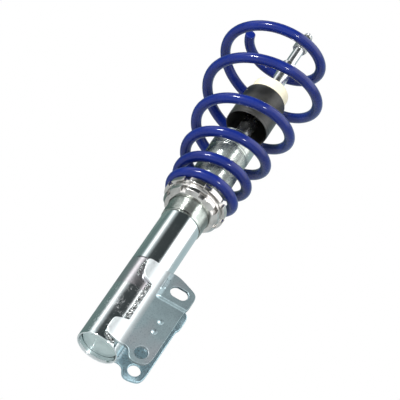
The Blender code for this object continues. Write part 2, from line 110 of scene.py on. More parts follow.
# (turns, radius of the wire's centre, height)
SPRING_STATIONS = (
    (0.0, 40.2, 254.4),
    (0.25, 40.2, 254.8),
    (0.5, 41.0, 261.5),
    (0.65, 40.5, 269.5),
    (0.8, 40.0, 273.5),
    (1.0, 42.0, 276.5),
    (1.33, 42.5, 286.5),
    (1.66, 45.0, 302.5),
    (2.0, 50.0, 315.0),
    (2.33, 50.0, 326.5),
    (2.66, 52.0, 348.0),
    (3.0, 58.5, 366.5),
    (3.33, 60.5, 379.0),
    (3.66, 62.0, 402.5),
    (4.0, 68.5, 427.0),
    (4.33, 74.0, 442.0),
    (4.66, 74.0, 467.0),
    (5.0, 71.0, 494.5),
    (5.25, 68.5, 503.0),
    (5.5, 60.5, 510.5),
    (5.75, 53.5, 520.0),
    (6.08, 47.5, 529.5),
)
SPRING_POINTS_PER_TURN = 64

# the tube's tinted band beside the bracket, in metres in the frame
BAND_LOW = 0.0735
BAND_HIGH = 0.1160

STOP_R = radius_of("bump_stop")
STOP_BORE_R = 10.4
STOP_BOTTOM = bottom_of("bump_stop")
STOP_TOP = top_of("bump_stop")
BOOT_R = radius_of("dust_boot")
BOOT_BOTTOM = bottom_of("dust_boot")
BOOT_TOP = top_of("dust_boot")

PLATE_THICK = 4.2
PLATE_EDGE = 0.9  # rounding of the sheet's edges
WRAP_R = 27.9
WRAP_START = 255.0
WRAP_END = 302.0
EAR_Y = 20.7
JOGGLE = 1.8
JOGGLE_BOTTOM = 80.5
JOGGLE_TOP = 84.5
EAR_BOLT = (46.8, 8.0)
BOLT_HOLE_R = 7.75
CAMBER_SLOT = (46.8, 99.5)
CAMBER_SLOT_LENGTH = 22.0
CAMBER_SLOT_HEIGHT = 14.5
DIMPLES = ((46.7, 54.6), (46.7, 39.4))
DIMPLE_R = 3.7
DIMPLE_HEIGHT = 1.1
# (x, low z, high z, half width, height)
RIDGES = ((25.6, 95.0, 108.0, 1.3, 0.9), (29.8, 97.0, 107.0, 1.1, 0.8))
# (x, z, corner radius) round the plate, from the upper tab's free corner
PLATE_OUTLINE = (
    (-5.5, 119.0, 6.0),
    (30.0, 119.8, 0.0),
    (39.5, 119.0, 12.0),
    (65.8, 108.5, 7.5),
    (65.8, 86.0, 8.0),
    (63.2, 80.0, 6.0),
    (61.5, -2.0, 12.0),
    (48.0, -7.1, 8.0),
    (37.5, -6.5, 8.0),
    (32.0, 6.5, 8.0),
    (6.0, 4.0, 5.0),
    (0.0, 9.0, 4.0),
    (0.0, 26.5, 6.0),
    (6.0, 30.5, 5.0),
    (15.0, 35.0, 3.0),
    (15.0, 91.0, 3.0),
    (0.0, 94.5, 6.0),
)


# the camera's own right, up and back directions, square to each other
CAMERA_RIGHT = Vector((0.8672, -0.2235, 0.4450)).normalized()
CAMERA_BACK = Vector((0.1104, -0.7852, -0.6093))
CAMERA_BACK = (CAMERA_BACK - CAMERA_RIGHT * CAMERA_BACK.dot(CAMERA_RIGHT)).normalized()
CAMERA_TURN = Matrix((CAMERA_RIGHT, CAMERA_BACK.cross(CAMERA_RIGHT), CAMERA_BACK)).transposed()
CAMERA_PLACE = (0.1859, -1.3048, -0.7617 - CAP_FACE * MM)


# ---------------------------------------------------------------- material nodes


class Finish:
    """A Principled material, and short ways to add nodes to it."""

    def __init__(self, name, colour, metallic, roughness, **sockets):
        self.material = bpy.data.materials.new(name)
        self.material.use_nodes = True
        self.tree = self.material.node_tree
        self.shader = self.tree.nodes["Principled BSDF"]
        self.set("Base Color", (*colour, 1.0))
        self.set("Metallic", metallic)
        self.set("Roughness", roughness)
        for socket, value in sockets.items():
            self.set(socket.replace("_", " "), value)
        self.place = self.add("ShaderNodeTexCoord").outputs["Object"]
        self.normal = None

    def set(self, socket, value):
        self.shader.inputs[socket].default_value = value

    def add(self, kind, **settings):
        node = self.tree.nodes.new(kind)
        for key, value in settings.items():
            setattr(node, key, value)
        return node

    def feed(self, socket, value):
        if isinstance(value, bpy.types.NodeSocket):
            self.tree.links.new(value, socket)
        else:
            socket.default_value = value

    def math(self, operation, *values):
        node = self.add("ShaderNodeMath", operation=operation)
        for socket, value in zip(node.inputs, values):
            self.feed(socket, value)
        return node.outputs[0]

    def parts(self):
        """The object's own x, y and z, in metres."""
        node = self.add("ShaderNodeSeparateXYZ")
        self.feed(node.inputs[0], self.place)
        return node.outputs

    def stretched(self, scale):
        """Object coordinates times (x, y, z), for noise drawn out along an axis."""
        node = self.add("ShaderNodeVectorMath", operation="MULTIPLY")
        self.feed(node.inputs[0], self.place)
        node.inputs[1].default_value = scale
        return node.outputs[0]

    def noise(self, per_metre, detail=2.0, rough=0.5, vector=None, warp=0.0):
        node = self.add("ShaderNodeTexNoise")
        self.feed(node.inputs["Vector"], vector or self.place)
        node.inputs["Scale"].default_value = per_metre
        node.inputs["Detail"].default_value = detail
        node.inputs["Roughness"].default_value = rough
        node.inputs["Distortion"].default_value = warp
        return node.outputs[0]

    def cells(self, per_metre):
        node = self.add("ShaderNodeTexVoronoi")
        self.feed(node.inputs["Vector"], self.place)
        node.inputs["Scale"].default_value = per_metre
        return node.outputs["Distance"]

    def turning_lines(self, per_metre):
        """Fine random rings round Z, as a lathe leaves on sides and faces."""
        x, y, z = self.parts()
        radius = self.math("SQRT", self.math("ADD", self.math("MULTIPLY", x, x), self.math("MULTIPLY", y, y)))
        node = self.add("ShaderNodeTexNoise", noise_dimensions="1D")
        self.feed(node.inputs["W"], self.math("ADD", radius, z))
        node.inputs["Scale"].default_value = per_metre
        node.inputs["Detail"].default_value = 2.0
        return node.outputs[0]

    def remap(self, value, from_low, from_high, to_low, to_high):
        node = self.add("ShaderNodeMapRange")
        for socket, number in zip(node.inputs, (value, from_low, from_high, to_low, to_high)):
            self.feed(socket, number)
        return node.outputs[0]

    def blend(self, share, first, second):
        node = self.add("ShaderNodeMix", data_type="RGBA")
        self.feed(node.inputs[0], share)
        self.feed(node.inputs[6], (*first, 1.0) if isinstance(first, tuple) else first)
        self.feed(node.inputs[7], (*second, 1.0) if isinstance(second, tuple) else second)
        return node.outputs[2]

    def colour(self, value):
        self.feed(self.shader.inputs["Base Color"], value)

    def roughness(self, value):
        self.feed(self.shader.inputs["Roughness"], value)

    def bump(self, height, depth_mm, strength=1.0):
        """Adds one layer of relief; each layer goes on top of the last."""
        node = self.add("ShaderNodeBump")
        node.inputs["Strength"].default_value = strength
        node.inputs["Distance"].default_value = depth_mm * MM
        self.feed(node.inputs["Height"], height)
        if self.normal:
            self.feed(node.inputs["Normal"], self.normal)
        self.normal = node.outputs[0]
        self.feed(self.shader.inputs["Normal"], self.normal)

    def radial_grain(self, amount):
        self.set("Anisotropic", amount)
        tangent = self.add("ShaderNodeTangent", direction_type="RADIAL", axis="Z")
        self.feed(self.shader.inputs["Tangent"], tangent.outputs[0])


def tube_zinc():
    """Bright zinc plating: a near mirror, mottled low down, tinted beside the bracket and rubbed dull above it, where
    its left side also carries a painted greenish reflection.
    """
    made = Finish("tube_zinc", (0.78, 0.81, 0.82), 1.0, 0.1)
    x, _, z = made.parts()
    plating = made.blend(made.remap(made.noise(18.0, 3.0), 0.35, 0.65, 0.0, 1.0), (0.80, 0.82, 0.83), (0.68, 0.75, 0.76))
    band = made.math("MULTIPLY", made.remap(z, BAND_LOW, BAND_LOW + 0.001, 0.0, 1.0), made.remap(z, BAND_HIGH, BAND_HIGH + 0.0004, 1.0, 0.0))
    tint = made.math("MULTIPLY", band, made.remap(made.noise(40.0, 3.0, 0.6), 0.3, 0.6, 0.4, 1.0))
    # the tube's left side above the bracket: a painted greenish reflection in the colour, and rougher there too
    above = made.math("MULTIPLY", made.remap(z, BAND_HIGH, BAND_HIGH + 0.003, 0.0, 1.0), made.remap(x, -0.007, -0.001, 1.0, 0.0))
    above = made.math("MULTIPLY", above, made.remap(made.noise(35.0, 2.0, vector=made.stretched((1.0, 1.0, 0.2))), 0.42, 0.52, 0.1, 1.0))
    scribe = made.remap(made.math("ABSOLUTE", made.math("SUBTRACT", z, BAND_HIGH)), 0.0006, 0.0010, 1.0, 0.0)
    scribe = made.math("MULTIPLY", scribe, made.remap(made.noise(90.0, 2.0), 0.45, 0.5, 0.0, 1.0))
    flecks = made.remap(made.noise(560.0, 5.0, 0.75), 0.5, 0.64, 0.0, 1.0)
    patches = made.remap(made.noise(45.0, 4.0, 0.65), 0.42, 0.62, 0.2, 1.0)
    mottle = made.math("MULTIPLY", made.math("MULTIPLY", flecks, patches), made.remap(z, BAND_LOW - 0.002, BAND_LOW + 0.006, 1.0, 0.4))
    colour = made.blend(tint, plating, (0.66, 0.62, 0.65))
    # painted greenish reflection on the left side above the bracket
    colour = made.blend(above, colour, (0.60, 0.69, 0.67))
    made.colour(made.blend(scribe, colour, (0.10, 0.10, 0.11)))
    worn = made.math("MAXIMUM", made.math("MULTIPLY", above, 0.8), made.math("MULTIPLY", tint, 0.45))
    worn = made.math("MAXIMUM", worn, mottle)
    made.roughness(made.remap(worn, 0.0, 1.0, 0.10, 0.42))
    made.bump(made.noise(26.0, 1.0, vector=made.stretched((1.0, 1.0, 0.2))), 0.3, 0.3)
    made.bump(mottle, 0.035, 0.9)
    return made.material


def cap_zinc():
    """The end cap's duller plating, with a faint blue-green passivation."""
    made = Finish("cap_zinc", (0.50, 0.58, 0.58), 1.0, 0.42)
    cloud = made.noise(70.0, 4.0, 0.6)
    made.colour(made.blend(made.remap(cloud, 0.3, 0.7, 0.0, 1.0), (0.66, 0.76, 0.75), (0.54, 0.63, 0.63)))
    made.roughness(made.remap(made.noise(400.0, 4.0, 0.6), 0.3, 0.7, 0.34, 0.5))
    made.bump(made.noise(900.0, 3.0, 0.6), 0.02, 0.6)
    return made.material


def sleeve_zinc():
    """Zinc on the threaded sleeve and gland: darker than the tube's, with streaks along the axis."""
    made = Finish("sleeve_zinc", (0.58, 0.62, 0.58), 1.0, 0.2)
    streaks = made.remap(made.noise(70.0, 3.0, 0.6, vector=made.stretched((1.0, 1.0, 0.12))), 0.38, 0.62, 0.0, 1.0)
    made.colour(made.blend(streaks, (0.60, 0.65, 0.61), (0.28, 0.29, 0.27)))
    made.roughness(made.remap(made.noise(300.0, 3.0), 0.3, 0.7, 0.14, 0.3))
    made.bump(made.noise(900.0, 3.0), 0.01, 0.6)
    return made.material


def bracket_zinc(name, light, dark, warmth):
    """Pressed sheet under satin zinc: grained, with a bloom of passivation, and painted brighter where it wraps the
    tube, a painted highlight.
    """
    made = Finish(name, light, 1.0, 0.48)
    grey = made.blend(made.remap(made.noise(45.0, 4.0, 0.6), 0.3, 0.7, 0.0, 1.0), light, dark)
    bloom = made.remap(made.noise(22.0, 2.0), 0.5, 0.7, 0.0, warmth)
    grey = made.blend(bloom, grey, (0.44, 0.40, 0.42))
    grain = made.noise(520.0, 5.0, 0.7)
    grey = made.blend(made.remap(grain, 0.50, 0.62, 0.0, 0.6), grey, (0.13, 0.16, 0.17))
    x = made.parts()[0]
    # lighter colour on the wrap round the tube, fading out from 18.5 to 26.5 mm in x: a painted highlight
    made.colour(made.blend(made.remap(x, 0.0185, 0.0265, 1.0, 0.0), grey, (0.80, 0.84, 0.85)))
    made.roughness(made.remap(grain, 0.3, 0.7, 0.40, 0.54))
    made.bump(made.noise(160.0, 4.0, 0.6), 0.05, 0.5)
    made.bump(made.noise(1300.0, 3.0, 0.6), 0.012, 0.6)
    return made.material


def weld_metal():
    made = Finish("weld_metal", (0.45, 0.46, 0.45), 1.0, 0.26)
    made.colour(
        made.blend(made.remap(made.noise(380.0, 3.0), 0.4, 0.6, 0.0, 1.0), (0.52, 0.54, 0.54), (0.08, 0.08, 0.08))
    )
    made.roughness(made.remap(made.noise(600.0, 3.0), 0.35, 0.65, 0.14, 0.42))
    made.bump(made.noise(700.0, 4.0, 0.6), 0.12, 0.8)
    return made.material


def turned_aluminium():
    made = Finish("turned_aluminium", (0.64, 0.62, 0.60), 1.0, 0.2)
    made.colour(
        made.blend(made.remap(made.noise(90.0, 2.0), 0.35, 0.65, 0.0, 1.0), (0.68, 0.66, 0.64), (0.52, 0.50, 0.48))
    )
    lines = made.turning_lines(3500.0)
    made.roughness(made.remap(lines, 0.3, 0.7, 0.12, 0.26))
    made.bump(lines, 0.012, 0.7)
    made.radial_grain(0.45)
    return made.material


def spring_paint():
    """Gloss powder coat over the wire, with its fine orange peel."""
    made = Finish("spring_paint", (0.005, 0.017, 0.16), 0.0, 0.32, Coat_Weight=0.55, Coat_Roughness=0.03)
    made.set("Specular IOR Level", 0.1)
    shade = made.remap(made.noise(35.0, 3.0), 0.3, 0.7, 0.0, 1.0)
    made.colour(made.blend(shade, (0.005, 0.018, 0.17), (0.004, 0.012, 0.12)))
    made.roughness(made.remap(made.noise(500.0, 2.0), 0.3, 0.7, 0.24, 0.34))
    made.bump(made.noise(260.0, 2.0), 0.01, 0.2)
    return made.material


def hard_chrome():
    made = Finish("hard_chrome", (0.76, 0.77, 0.78), 1.0, 0.24)
    made.roughness(made.remap(made.noise(120.0, 3.0), 0.3, 0.7, 0.2, 0.3))
    made.bump(made.noise(2500.0, 2.0, vector=made.stretched((1.0, 1.0, 0.05))), 0.002, 0.5)
    return made.material


def plated_steel():
    made = Finish("plated_steel", (0.62, 0.62, 0.60), 1.0, 0.3)
    made.colour(
        made.blend(made.remap(made.noise(160.0, 3.0), 0.35, 0.65, 0.0, 1.0), (0.68, 0.68, 0.66), (0.52, 0.52, 0.50))
    )
    made.roughness(made.remap(made.noise(700.0, 3.0), 0.3, 0.7, 0.22, 0.4))
    made.bump(made.noise(1500.0, 3.0), 0.015, 0.7)
    return made.material


def machined_steel():
    made = Finish("machined_steel", (0.5, 0.5, 0.5), 1.0, 0.32)
    lines = made.turning_lines(2500.0)
    made.roughness(made.remap(lines, 0.3, 0.7, 0.25, 0.42))
    made.bump(lines, 0.02, 0.7)
    return made.material


def bronze():
    made = Finish("bronze_bush", (0.60, 0.42, 0.20), 1.0, 0.35)
    made.roughness(made.remap(made.noise(900.0, 3.0), 0.3, 0.7, 0.28, 0.45))
    made.bump(made.noise(1800.0, 2.0), 0.015, 0.6)
    return made.material


def boot_plastic():
    """Moulded rubbery plastic, satin black with a fine grain and a faint dusty bloom."""
    made = Finish("boot_plastic", (0.022, 0.022, 0.021), 0.0, 0.38)
    made.set("Specular IOR Level", 0.6)
    bloom = made.remap(made.noise(40.0, 4.0, 0.6), 0.45, 0.7, 0.0, 1.0)
    made.colour(made.blend(bloom, (0.018, 0.018, 0.017), (0.034, 0.033, 0.030)))
    made.roughness(made.remap(made.noise(350.0, 3.0), 0.3, 0.7, 0.32, 0.46))
    made.bump(made.noise(1400.0, 2.0), 0.03, 0.6)
    made.bump(made.turning_lines(160.0), 0.05, 0.5)
    return made.material


def black_rubber():
    made = Finish("black_rubber", (0.02, 0.02, 0.02), 0.0, 0.6)
    made.roughness(made.remap(made.noise(600.0, 3.0), 0.3, 0.7, 0.5, 0.7))
    made.bump(made.noise(1600.0, 2.0), 0.03, 0.6)
    return made.material


def dark_polymer():
    made = Finish("dark_polymer", (0.06, 0.06, 0.06), 0.0, 0.45)
    made.roughness(made.remap(made.noise(500.0, 3.0), 0.3, 0.7, 0.38, 0.55))
    made.bump(made.noise(1200.0, 2.0), 0.02, 0.6)
    return made.material


def cream_foam():
    """Microcellular polyurethane: matt cream skin with scattered pinholes, dented and with painted shade in them."""
    made = Finish("cream_foam", (0.86, 0.80, 0.62), 0.0, 0.55)
    made.set("Subsurface Weight", 0.15)
    made.set("Subsurface Radius", (0.004, 0.003, 0.002))
    shade = made.remap(made.noise(55.0, 4.0, 0.6), 0.3, 0.7, 0.0, 1.0)
    skin = made.blend(shade, (0.88, 0.82, 0.64), (0.80, 0.73, 0.54))
    holes = made.remap(made.cells(520.0), 0.05, 0.16, 1.0, 0.0)
    # the pinholes are also drawn darker: painted shade in their hollows
    made.colour(made.blend(made.math("MULTIPLY", holes, 0.5), skin, (0.52, 0.44, 0.28)))
    made.roughness(made.remap(shade, 0.0, 1.0, 0.5, 0.66))
    made.bump(holes, 0.12, -0.5)
    made.bump(made.noise(900.0, 3.0), 0.03, 0.5)
    return made.material


# ---------------------------------------------------------------- meshes


def add_piece(name, mesh, finish, sharp=32.0):
    """Links the mesh as an object, welded, facing out and smooth but for its sharp edges."""
    form = bmesh.new()
    form.from_mesh(mesh)
    bmesh.ops.remove_doubles(form, verts=form.verts, dist=0.000002)
    bmesh.ops.dissolve_degenerate(form, edges=form.edges, dist=0.000001)
    bmesh.ops.recalc_face_normals(form, faces=form.faces)
    form.to_mesh(mesh)
    form.free()
    mesh.shade_smooth()
    mesh.set_sharp_from_angle(angle=math.radians(sharp))
    mesh.materials.append(finish)
    made = bpy.data.objects.new(name, mesh)
    bpy.context.scene.collection.objects.link(made)
    return made


def mesh_of(name, points, faces):
    """A mesh in metres in the frame, from points in millimetres counted from the datum."""
    mesh = bpy.data.meshes.new(name)
    mesh.from_pydata(((np.asarray(points, float) - (0.0, 0.0, CAP_FACE)) * MM).tolist(), [], faces)
    return mesh


def rounded(corners, closed=True, steps=FILLET_STEPS, support=SUPPORT):
    """A line through (u, v, radius) corners, with each corner rounded and a supporting point past each fillet."""
    count = len(corners)
    points = []
    for i, (u, v, radius) in enumerate(corners):
        here = Vector((u, v))
        if radius == 0.0 or (not closed and i in (0, count - 1)):
            points.append(here)
            continue
        back = Vector(corners[i - 1][:2]) - here
        ahead = Vector(corners[(i + 1) % count][:2]) - here
        start = here + back.normalized() * min(radius, 0.48 * back.length)
        end = here + ahead.normalized() * min(radius, 0.48 * ahead.length)
        if support and back.length > 2.5 * radius + 3 * support:
            points.append(start + back.normalized() * support)
        for k in range(steps + 1):
            t = k / steps
            points.append(start * (1 - t) ** 2 + here * 2 * t * (1 - t) + end * t * t)
        if support and ahead.length > 2.5 * radius + 3 * support:
            points.append(end + ahead.normalized() * support)
    return points


def rings_to_mesh(name, rings, closed):
    """A mesh through rings of the same number of points each."""
    rings = np.array(rings, float)
    count, sides = rings.shape[:2]
    faces = []
    for i in range(count if closed else count - 1):
        j = (i + 1) % count
        for k in range(sides):
            n = (k + 1) % sides
            faces.append((i * sides + k, j * sides + k, j * sides + n, i * sides + n))
    return mesh_of(name, rings.reshape(-1, 3), faces)


def circle_ring(radius, z, sides=SEGMENTS):
    angles = np.arange(sides) * math.tau / sides
    return np.stack([radius * np.cos(angles), radius * np.sin(angles), np.full(sides, z)], axis=1)


def turned(name, corners, finish, closed=True, sides=SEGMENTS, sharp=32.0):
    """A turned piece from (radius, height, fillet) corners."""
    rings = [circle_ring(r, z, sides) for r, z in rounded(corners, closed)]
    return add_piece(name, rings_to_mesh(name, rings, closed), finish, sharp)


def thread_rings(root_r, crest_r, bottom, top, pitch, sides, rows=8):
    """Rings that wind down a real helical thread, fading out at both ends, and how many rings make one pitch."""
    count = math.ceil(((top - bottom) / pitch + 1) * rows) + 1
    turn = np.arange(sides) / sides
    rings = []
    for j in range(count):
        z = np.clip(top + pitch * (turn - j / rows), bottom, top)
        tooth = min(max(1.5 * (1 - abs(2 * (j % rows) / rows - 1)) - 0.25, 0.0), 1.0)
        fade = np.clip(np.minimum(top - z, z - bottom) / pitch, 0, 1)
        radius = root_r + (crest_r - root_r) * tooth * fade
        angle = turn * math.tau
        rings.append(np.stack([radius * np.cos(angle), radius * np.sin(angle), z], axis=1))
    return rings, rows


def threaded(name, before, thread, after, finish, closed, sides):
    """A turned piece with a thread between two runs of plain corners. The thread's seam joins one pitch on."""
    rings, rows = thread_rings(*thread, sides)
    head = [circle_ring(r, z, sides) for r, z in rounded(before, closed=False)]
    tail = [circle_ring(r, z, sides) for r, z in rounded(after, closed=False)]
    every = np.array(head + rings + tail, float)
    first, last = len(head), len(head) + len(rings) - 1
    count = len(every)
    faces = []
    for i in range(count if closed else count - 1):
        j = (i + 1) % count
        for k in range(sides):
            if k < sides - 1:
                faces.append((i * sides + k, j * sides + k, j * sides + k + 1, i * sides + k + 1))
                continue
            on_thread = first <= i < last
            i_next = max(i - rows, first) if on_thread else i
            j_next = max(j - rows, first) if on_thread else j
            if i == last:
                i_next = i
            faces.append((i * sides + k, j * sides + k, j_next * sides, i_next * sides))
    return add_piece(name, mesh_of(name, every.reshape(-1, 3), faces), finish, sharp=50.0)


def offset_loop(points, distance):
    """The closed loop moved to its left by a distance, with mitred corners."""
    points = np.asarray(points, float)
    ahead = np.roll(points, -1, axis=0) - points
    ahead /= np.linalg.norm(ahead, axis=1, keepdims=True)
    back = np.roll(ahead, 1, axis=0)
    normal = np.stack([-(ahead + back)[:, 1], (ahead + back)[:, 0]], axis=1)
    normal /= np.linalg.norm(normal, axis=1, keepdims=True)
    spread = np.clip((normal * np.stack([-ahead[:, 1], ahead[:, 0]], axis=1)).sum(axis=1), 0.5, 1.0)
    return points + normal * (distance / spread)[:, None]


def even_loop(corners, spacing):
    """A closed loop resampled so that no side is longer than spacing."""
    points = []
    for i, here in enumerate(corners):
        ahead = corners[(i + 1) % len(corners)]
        steps = max(1, math.ceil((Vector(ahead) - Vector(here)).length / spacing))
        for k in range(steps):
            points.append(Vector(here).lerp(Vector(ahead), k / steps))
    return points


def notched_outline(ring_r):
    """The XY outline of a ring with hook-wrench notches, counterclockwise, with small fillets."""
    half = NOTCH_WIDTH / 2
    floor_r = ring_r - NOTCH_DEPTH
    step = math.tau / NOTCHES
    edge = math.asin(half / ring_r)
    corners = []
    for n in range(NOTCHES):
        middle = math.radians(NOTCH_START) + n * step
        turn = Matrix.Rotation(middle, 2)
        corners.append((*(turn @ Vector((floor_r, half))), 0.5))
        corners.append((*(turn @ Vector((ring_r * math.cos(edge), half))), 0.45))
        land = step - 2 * edge
        for k in range(1, 14):
            angle = middle + edge + land * k / 14
            corners.append((ring_r * math.cos(angle), ring_r * math.sin(angle), 0.0))
        turn = Matrix.Rotation(middle + step, 2)
        corners.append((*(turn @ Vector((ring_r * math.cos(edge), -half))), 0.45))
        corners.append((*(turn @ Vector((floor_r, -half))), 0.5))
    return rounded(corners, steps=3, support=0.0)


def notched_ring(name, ring_r, levels, finish):
    """A ring with notches. levels are (limit radius, height, inset): the outline goes in by inset, then is cut to the limit."""
    outline = notched_outline(ring_r)
    rings = []
    for limit, z, inset in levels:
        loop = offset_loop(outline, inset)
        length = np.linalg.norm(loop, axis=1)
        loop = loop * (np.minimum(length, limit) / length)[:, None]
        rings.append(np.column_stack([loop, np.full(len(loop), z)]))
    return add_piece(name, rings_to_mesh(name, rings, closed=True), finish, sharp=38.0)


def edge_levels(ring_r, z, inward, edge=0.6, steps=4):
    """Levels that round a notched ring's edge at height z. inward is 1 where the ring lies above z, and -1 below."""
    levels = []
    for k in range(steps + 1):
        angle = math.pi / 2 * k / steps
        inset = edge * (1 - math.sin(angle))
        levels.append((ring_r - inset, z + inward * edge * (1 - math.cos(angle)), inset))
    return levels


def sweep(name, points, radii, finish, sides=28):
    """A wire through the points, with a radius at each, closed at both ends."""
    points = [Vector(p) for p in points]
    tangents = [
        (points[min(i + 1, len(points) - 1)] - points[max(i - 1, 0)]).normalized() for i in range(len(points))
    ]
    across = tangents[0].orthogonal().normalized()
    rings = []
    for i, (point, tangent) in enumerate(zip(points, tangents)):
        if i:
            across = tangents[i - 1].rotation_difference(tangent) @ across
        across = (across - tangent * across.dot(tangent)).normalized()
        other = tangent.cross(across)
        ring = []
        for k in range(sides):
            angle = math.tau * k / sides
            radius = radii[i][k] if hasattr(radii[i], "__len__") else radii[i]
            ring.append(point + (across * math.cos(angle) + other * math.sin(angle)) * radius)
        rings.append(ring)
    ends = [[points[0]] * sides], [[points[-1]] * sides]
    return add_piece(name, rings_to_mesh(name, ends[0] + rings + ends[1], closed=False), finish, sharp=40.0)


def hex_nut(name, bottom, top, finish, chamfer_top=True):
    """A hexagon nut with turned-down corners and a chamfered bore."""
    sides = 96
    angle = np.arange(sides) * math.tau / sides
    flats = np.array([np.cos(angle - math.radians(30 + 60 * k)) for k in range(6)]).clip(0.0, None)
    radius = NUT_FLATS / 2 / (flats**70).sum(axis=0) ** (1 / 70)
    washer_r = NUT_FLATS / 2 - 0.35
    fall = (radius - washer_r) * math.tan(math.radians(30))

    def ring(reach, z):
        return np.stack([reach * np.cos(angle), reach * np.sin(angle), z + 0 * angle], axis=1)

    bore_r = STUD_R + 0.3
    top_fall = fall if chamfer_top else 0.25 * fall
    rings = [
        ring(0 * angle + bore_r, top - 0.9),
        ring(0 * angle + bore_r + 0.9, top),
        ring(0 * angle + washer_r - 0.2, top),
        ring(0 * angle + washer_r, top - 0.04),
        ring(radius - 0.12, top - top_fall),
        ring(radius, top - top_fall - 0.15),
        ring(radius, top - top_fall - 0.5),
        ring(radius, bottom + fall + 0.5),
        ring(radius, bottom + fall + 0.15),
        ring(radius - 0.12, bottom + fall),
        ring(0 * angle + washer_r, bottom + 0.04),
        ring(0 * angle + washer_r - 0.2, bottom),
        ring(0 * angle + bore_r + 0.9, bottom),
        ring(0 * angle + bore_r, bottom + 0.9),
    ]
    return add_piece(name, rings_to_mesh(name, rings, closed=True), finish, sharp=25.0)


def place(piece, body, slot, *nodes):
    """Puts the piece on its body and in place of its CAD nodes. The slot is not used."""
    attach(piece, body)
    if nodes:
        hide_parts(*nodes)
    return piece


# ---------------------------------------------------------------- damper


def make_damper(zinc, dull, sleeve, rubber):
    shell = turned(
        "tube_shell",
        (
            (TUBE_R, TUBE_TOP, 0.4),
            (TUBE_R, TUBE_BOTTOM, 1.4),
            (TUBE_BORE_R + 1.3, TUBE_BOTTOM, 0.5),
            (TUBE_BORE_R, TUBE_BOTTOM + 2.6, 0.6),
            (TUBE_BORE_R, TUBE_TOP, 0.4),
        ),
        zinc,
    )
    place(shell, "damper_body", "zinc_plate", "strut_tube")
    cap_r = radius_of("bottom_cap")
    cap_top = top_of("bottom_cap")
    cap = turned(
        "end_cap",
        (
            (0.0, cap_top, 0.0),
            (cap_r, cap_top, 0.5),
            (cap_r, CAP_FACE, 0.9),
            (0.0, CAP_FACE, 0.0),
        ),
        dull,
        closed=False,
    )
    place(cap, "damper_body", "zinc_plate", "bottom_cap")
    low, high = bottom_of("threaded_sleeve"), top_of("threaded_sleeve")
    bore_r = TUBE_R + 0.3
    root_r = SLEEVE_R - 0.5
    threads = threaded(
        "sleeve_thread",
        ((bore_r, low, 0.0), (bore_r, high, 0.0), (root_r - 0.2, high, 0.0), (root_r, high - 0.4, 0.0)),
        (root_r, SLEEVE_R, low + 2.4, high - 0.6, 2.0),
        ((root_r, low + 2.2, 0.0), (SLEEVE_R - 0.3, low + 1.9, 0.0), (SLEEVE_R - 0.3, low, 0.4), (bore_r, low, 0.0)),
        sleeve,
        closed=False,
        sides=112,
    )
    place(threads, "damper_body", "sleeve_zinc", "threaded_sleeve")
    gland_low = bottom_of("gland_nut")
    gland = turned(
        "gland_cap",
        (
            (GLAND_R - 1.6, GLAND_TOP, 0.7),
            (GLAND_R, GLAND_TOP - 1.8, 0.9),
            (GLAND_R, gland_low + 3.2, 0.3),
            (GLAND_R - 0.6, gland_low + 2.7, 0.3),
            (GLAND_R - 0.6, gland_low, 0.3),
            (bore_r, gland_low, 0.0),
            (bore_r, SEAL_TOP + 0.3, 0.0),
            (ROD_R + 0.8, SEAL_TOP + 0.3, 0.0),
            (ROD_R + 0.8, GLAND_TOP - 3.0, 0.8),
            (ROD_R + 5.4, GLAND_TOP - 2.2, 1.0),
            (ROD_R + 6.2, GLAND_TOP - 0.4, 0.6),
        ),
        sleeve,
    )
    place(gland, "damper_body", "sleeve_zinc", "gland_nut")
    wiper = turned(
        "rod_wiper",
        (
            (ROD_R + 4.6, GLAND_TOP - 2.3, 0.3),
            (ROD_R + 4.6, GLAND_TOP - 1.7, 0.4),
            (ROD_R + 1.2, GLAND_TOP - 0.6, 0.4),
            (ROD_R + 0.25, GLAND_TOP - 0.2, 0.15),
            (ROD_R + 0.25, GLAND_TOP - 4.0, 0.2),
            (ROD_R + 0.7, GLAND_TOP - 4.0, 0.1),
            (ROD_R + 0.7, GLAND_TOP - 2.5, 0.1),
        ),
        rubber,
    )
    place(wiper, "damper_body", "black_rubber")


def make_rod(chrome, steel, polymer):
    low = bottom_of("piston_rod")
    shoulder_r = 7.0
    rod = threaded(
        "rod_and_stud",
        (
            (0.0, ROD_TOP, 0.0),
            (STUD_R - 1.6, ROD_TOP, 0.3),
            (STUD_R - 0.75, ROD_TOP - 0.9, 0.0),
        ),
        (STUD_R - 0.7, STUD_R, NECK_TOP + 1.0, ROD_TOP - 1.0, 1.25),
        (
            (STUD_R - 0.7, NECK_TOP + 0.8, 0.0),
            (NECK_R - 0.6, NECK_TOP, 0.2),
            (NECK_R, NECK_TOP - 0.8, 0.3),
            (NECK_R, ROD_SHOULDER, 0.4),
            (ROD_R - 0.8, ROD_SHOULDER, 0.2),
            (ROD_R, ROD_SHOULDER - 0.9, 0.4),
            (ROD_R, 309.6, 0.3),
            (shoulder_r, 309.6, 0.0),
            (shoulder_r, low + 1.0, 0.0),
            (shoulder_r - 1.0, low, 0.0),
            (0.0, low, 0.0),
        ),
        chrome,
        closed=False,
        sides=96,
    )
    place(rod, "rod", "chrome", "piston_rod")
    spacer = hex_nut("spacer_hex", bottom_of("spacer_nut"), top_of("spacer_nut"), steel)
    place(spacer, "rod", "plated_steel", "spacer_nut")
    nut_top = top_of("top_lock_nut")
    lock = hex_nut("lock_hex", bottom_of("top_lock_nut"), nut_top, steel)
    place(lock, "rod", "plated_steel", "top_lock_nut")
    crown_top = top_of("lock_nut_insert")
    crown = turned(
        "lock_nut_crown",
        (
            (STUD_R + 0.3, crown_top - 0.7, 0.3),
            (STUD_R + 0.5, crown_top, 0.3),
            (7.0, crown_top, 1.2),
            (7.6, nut_top + 2.0, 0.8),
            (7.6, nut_top + 0.3, 0.1),
            (STUD_R + 0.3, nut_top + 0.3, 0.0),
        ),
        steel,
        sides=96,
    )
    place(crown, "rod", "dark_polymer", "lock_nut_insert")


# ---------------------------------------------------------------- rings, spring, boot


